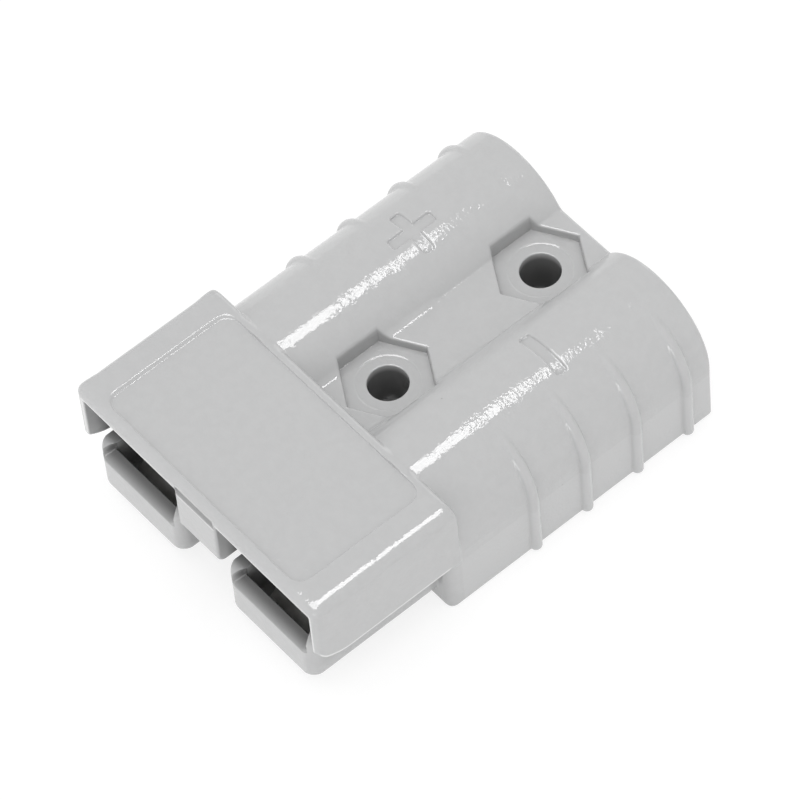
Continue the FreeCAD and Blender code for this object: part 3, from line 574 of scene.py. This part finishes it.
def vary_roughness(tree, shader, value, low, high):
    item = tree.nodes.new("ShaderNodeMapRange")
    item.inputs["To Min"].default_value = low
    item.inputs["To Max"].default_value = high
    tree.links.new(value, item.inputs["Value"])
    tree.links.new(item.outputs[0], shader.inputs["Roughness"])


def add_relief(tree, shader, height):
    """Fine relief of the surface, with its height in millimetres."""
    bump = tree.nodes.new("ShaderNodeBump")
    bump.inputs["Distance"].default_value = MM
    tree.links.new(height, bump.inputs["Height"])
    tree.links.new(bump.outputs[0], shader.inputs["Normal"])


def painted_shade_places(tree, x, side, y, z):
    """Pairs of a mask and a colour: where shade is painted into the moulding's recesses, and how dark."""
    # Painted shade in the groove across the post
    groove = radius_of(tree, less(tree, y, GROOVE_Y), less(tree, z, GROOVE_Z))
    groove_shade = mask(tree, (groove, 0.68, GROOVE_RADIUS), (side, 2.95, 2.8))
    # Painted shade on the walls of the nut recesses
    along = less(tree, math_node(tree, "ABSOLUTE", less(tree, y, ORIGIN_Y)), HOLES_APART / 2)
    hexagon = total(tree, product(tree, math_node(tree, "ABSOLUTE", along), COS_30), product(tree, side, 0.5))
    hexagon = less(tree, largest(tree, side, hexagon), HEX_HALF)
    nut_wall_shade = mask(tree, (hexagon, -0.08, -0.02), (hexagon, 0.16, 0.02), (z, 11.58, 11.62))
    # Painted shade on the slopes of the mouths, darker inwards
    off_axis = math_node(tree, "ABSOLUTE", less(tree, side, CHANNEL_X))
    near = less(tree, MOUTH_BACK, y)
    flank = less(tree, off_axis, product(tree, near, FLANK_SLOPE))
    sill = total(tree, z, product(tree, near, SILL_SLOPE))
    mouth_shade = mask(tree, (flank, 4.95, 4.82), (sill, 6.95, 7.08), (y, 1.9, 1.7), (z, 9.7, 9.4),
                    (sill, 9.6, 9.0), (y, -0.5, 1.4))
    # Painted shade deep inside: the channels, the screw holes, and between the tongues and the hood
    channel_shade = mask(tree, (off_axis, 4.95, 4.7), (y, 1.3, 1.6), (y, 22.3, 21.9), (z, 8.6, 8.2), (z, 2.2, 2.8))
    hole_shade = mask(tree, (radius_of(tree, x, along), 2.25, HOLE_RADIUS), (z, 11.4, 10.4), (z, 0.3, 1.5))
    hood_shade = mask(tree, (y, 0.9, 2.6), (y, 16.4, BODY_FRONT), (z, 14.6, 14.3), (z, 2.5, 9.0), (side, 17.3, 17.0))
    return (
        (product(tree, groove_shade, 0.45), grey(0.28)),
        (product(tree, nut_wall_shade, 0.5), grey(0.28)),
        (mouth_shade, grey(0.1)),
        (largest(tree, channel_shade, hole_shade, hood_shade), grey(0.205)),
    )


def painted_highlight_edges(tree, side, y, z):
    """Mask of the sharp edges given a painted highlight."""
    # Painted highlight on the lower edge of the hood's side walls, rising in an arc to the front
    ahead = largest(tree, less(tree, ARC_Y, y), 0.0)
    arc = less(tree, radius_of(tree, ahead, less(tree, ARC_Z, z)), ARC_RADIUS)
    foot = mask(tree, (arc, -0.42, -0.26), (side, 17.85, 18.0), (y, 16.6, BODY_FRONT), (z, 6.5, 6.8))
    # Painted highlight on the inner edge of the hood's front
    inner = largest(tree, less(tree, side, WALL_INSIDE), less(tree, z, PLATE_UNDER))
    rim = mask(tree, (inner, -0.05, 0.04), (inner, 0.4, 0.28), (y, 0.3, 0.15), (side, 3.0, 3.3))
    # Painted highlight, weaker, on the lip under the post's groove
    above = less(tree, z, GROOVE_Z)
    groove = radius_of(tree, less(tree, y, GROOVE_Y), above)
    lip = mask(tree, (groove, 0.66, 0.72), (groove, 0.96, 0.86), (side, 2.95, 2.8), (above, -0.3, -0.5))
    return largest(tree, foot, rim, product(tree, lip, 0.7))


def dust_specks(tree, coords):
    """Mask of a few dust specks."""
    cells = tree.nodes.new("ShaderNodeTexVoronoi")
    cells.inputs["Scale"].default_value = 260.0
    tree.links.new(coords, cells.inputs["Vector"])
    chance = tree.nodes.new("ShaderNodeSeparateColor")
    tree.links.new(cells.outputs["Color"], chance.inputs[0])
    return mask(tree, (cells.outputs["Distance"], 0.04, 0.02), (chance.outputs[0], 0.55, 0.9))


def moulded_plastic():
    """Light grey moulded plastic: slight mottling, orange peel and a fine grain, with painted shade inside mouths
    and holes and painted highlights along some edges.
    """
    material, tree, shader = new_material("moulded_grey_plastic")
    shader.inputs["IOR"].default_value = 1.5
    coords = object_coordinates(tree)
    x, side, y, z = place_of(tree, coords)
    mottle = ramp(tree, noise(tree, coords, 900.0, 5.0, 0.7), 0.3, 0.7)
    colour = mix_colour(tree, mottle, (0.532, 0.534, 0.536, 1), (0.552, 0.554, 0.556, 1))
    # Painted light: the lower half, under the parting line, is painted a shade lighter, standing in for the
    # different light on its differently drafted face
    painted_lighter_below = mask(tree, (z, 7.08, 6.92), (y, 17.6, 17.8))
    colour = mix_colour(tree, painted_lighter_below, colour, (0.567, 0.569, 0.571, 1))
    # Painted highlights: lighter along the hood's lower and inner front edges and on the lip under the groove
    colour = mix_colour(tree, painted_highlight_edges(tree, side, y, z), colour, grey(0.78))
    # Painted shade: darker in the groove, on the nut recesses' walls, in the mouths, channels and screw holes, and
    # between the tongues and the hood
    for place, shade in painted_shade_places(tree, x, side, y, z):
        colour = mix_colour(tree, place, colour, shade)
    specks = product(tree, dust_specks(tree, coords), 0.45)
    colour = mix_colour(tree, specks, colour, (0.22, 0.21, 0.2, 1))
    tree.links.new(colour, shader.inputs["Base Color"])
    # Orange peel and a fine grain, stronger where the surface is worn: in patches and in two bands
    worn = ramp(tree, noise(tree, coords, 330.0, 3.0, 0.6), 0.5, 0.62)
    for start, end in ((24.2, 26.8), (28.4, 33.2)):
        band = mask(tree, (y, start - 0.8, start + 0.4), (y, end + 0.4, end - 0.4))
        worn = total(tree, worn, product(tree, band, 0.7))
    peel = product(tree, noise(tree, coords, 800.0, 2.0), 0.004)
    depth = total(tree, product(tree, worn, 0.016), 0.009)
    add_relief(tree, shader, total(tree, peel, product(tree, noise(tree, coords, 2700.0, 1.0), depth)))
    vary_roughness(tree, shader, worn, 0.04, 0.07)
    return material


def plain_metal(name, low, high, roughness, scale):
    """Metal with a mottled tone and fine drawing marks."""
    material, tree, shader = new_material(name)
    shader.inputs["Metallic"].default_value = 1.0
    coords = object_coordinates(tree)
    mottle = ramp(tree, noise(tree, coords, scale, 4.0, 0.6), 0.3, 0.75)
    tree.links.new(mix_colour(tree, mottle, low, high), shader.inputs["Base Color"])
    vary_roughness(tree, shader, mottle, roughness, roughness + 0.12)
    add_relief(tree, shader, product(tree, noise(tree, coords, scale * 9, 2.0), 0.01))
    return material


skin = bpy.data.objects.new("housing_skin", housing_mesh())
bpy.context.scene.collection.objects.link(skin)
skin.data.materials.append(moulded_plastic())
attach(skin, "root")
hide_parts("housing")

silver = plain_metal("silver_plate", (0.68, 0.67, 0.64, 1), (0.8, 0.79, 0.76, 1), 0.22, 700.0)
spring_steel = plain_metal("spring_steel", (0.5, 0.5, 0.49, 1), (0.6, 0.6, 0.59, 1), 0.28, 900.0)
for name, material in (("contact", silver), ("spring", spring_steel)):
    for pole in ("positive", "negative"):
        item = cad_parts[f"{name}_{pole}"]
        item.data.materials.clear()
        item.data.materials.append(material)


def shows_background(tree):
    """1 for what the camera sees directly, in reflections or through glass."""
    path = tree.nodes.new("ShaderNodeLightPath")
    kinds = ("Is Camera Ray", "Is Glossy Ray", "Is Transmission Ray")
    return largest(tree, *[path.outputs[kind] for kind in kinds])


# The world lights the object from its sides and, more strongly, from overhead, and looks white
scene = bpy.context.scene
world = bpy.data.worlds.new("studio")
scene.world = world
world.use_nodes = True
tree = world.node_tree
background = tree.nodes["Background"]
background.inputs["Color"].default_value = grey(1)
split = tree.nodes.new("ShaderNodeSeparateXYZ")
tree.links.new(tree.nodes.new("ShaderNodeTexCoord").outputs["Generated"], split.inputs[0])
from_sides = product(tree, ramp(tree, split.outputs[2], 0.78, 0.30), 0.58)
from_overhead = product(tree, ramp(tree, split.outputs[2], 0.80, 0.93), 1.45)
from_ahead = product(tree, split.outputs[1], -0.17)
tree.links.new(total(tree, from_sides, from_overhead, 0.47, from_ahead), background.inputs["Strength"])
white = tree.nodes.new("ShaderNodeBackground")
white.inputs["Strength"].default_value = 1.0
mix = tree.nodes.new("ShaderNodeMixShader")
tree.links.new(shows_background(tree), mix.inputs[0])
tree.links.new(background.outputs[0], mix.inputs[1])
tree.links.new(white.outputs[0], mix.inputs[2])
tree.links.new(mix.outputs[0], tree.nodes["World Output"].inputs["Surface"])

# The floor is paper that looks nearly white and still keeps the object's shadow
FLOOR_HALF = 4.0
floor_mesh = bpy.data.meshes.new("floor")
corners = [(-1, -1), (1, -1), (1, 1), (-1, 1)]
floor_mesh.from_pydata([(FLOOR_HALF * x, FLOOR_HALF * y, 0) for x, y in corners], [], [(0, 1, 2, 3)])
floor = bpy.data.objects.new("floor", floor_mesh)
floor.location.z = -0.05 * MM
scene.collection.objects.link(floor)
paper, tree, shader = new_material("paper")
shader.inputs["Base Color"].default_value = grey(0.9)
shader.inputs["Roughness"].default_value = 0.9
shader.inputs["Specular IOR Level"].default_value = 0.0
glow = tree.nodes.new("ShaderNodeEmission")
glow.inputs["Strength"].default_value = 1.12
pale = tree.nodes.new("ShaderNodeMixShader")
pale.inputs[0].default_value = 0.7
pick = tree.nodes.new("ShaderNodeMixShader")
tree.links.new(shader.outputs[0], pale.inputs[1])
tree.links.new(glow.outputs[0], pale.inputs[2])
tree.links.new(shows_background(tree), pick.inputs[0])
tree.links.new(shader.outputs[0], pick.inputs[1])
tree.links.new(pale.outputs[0], pick.inputs[2])
tree.links.new(pick.outputs[0], tree.nodes["Material Output"].inputs["Surface"])
floor_mesh.materials.append(paper)


def lamp(name, place, aim, width, length, power):
    """Lamp that shows only in reflections; place, aim and size in millimetres, power in watts."""
    data = bpy.data.lights.new(name, "AREA")
    data.shape = "RECTANGLE"
    data.size = width * MM
    data.size_y = length * MM
    data.energy = power
    item = bpy.data.objects.new(name, data)
    scene.collection.objects.link(item)
    item.location = (Vector(place) - Vector((0, ORIGIN_Y, 0))) * MM
    towards = (Vector(aim) - Vector(place)).normalized()
    item.rotation_euler = towards.to_track_quat("-Z", "Y").to_euler()
    item.visible_camera = False
    item.visible_diffuse = False
    item.visible_transmission = False


lamp("window", (-2.6, 69.5, 180), (-2.6, 69.5, 0), 43, 43, 0.058)
lamp("overhead", (-12, -12, 180), (-12, -12, 0), 90, 117, 0.26)
lamp("back", (-235, 417, 191), (0, 17, 16), 300, 260, 0.28)
lamp("front", (152, -237, 20), (17, 27, 8), 150, 60, 0.14)
lamp("window_bar", (-2.6, 96.5, 180), (-2.6, 96.5, 0), 43, 5, 0.0068)

# Camera at the photograph's viewing angle
IMAGE_PIXELS = 800
FOCAL_PIXELS = 5971.479
SENSOR_WIDTH = 36.0
azimuth, elevation, roll = math.radians(54.562), math.radians(55.085), math.radians(-6.242)
target = Vector((0.322, 25.269 - ORIGIN_Y, 8.0)) * MM
distance = 585.366 * MM
forward = Vector((
    math.sin(-azimuth) * math.cos(elevation),
    math.cos(-azimuth) * math.cos(elevation),
    -math.sin(elevation),
))
right = forward.cross(Vector((0, 0, 1))).normalized()
above = right.cross(forward)
camera_x = math.cos(roll) * right + math.sin(roll) * above
camera_y = -math.sin(roll) * right + math.cos(roll) * above
data = bpy.data.cameras.new("camera")
data.sensor_width = SENSOR_WIDTH
data.lens = FOCAL_PIXELS / IMAGE_PIXELS * SENSOR_WIDTH
data.clip_start = 0.01
data.clip_end = 20
camera = bpy.data.objects.new("camera", data)
scene.collection.objects.link(camera)
turn = Matrix((camera_x, camera_y, -forward)).transposed().to_4x4()
camera.matrix_world = Matrix.Translation(target - forward * distance) @ turn
scene.camera = camera
scene.view_settings.view_transform = "Standard"
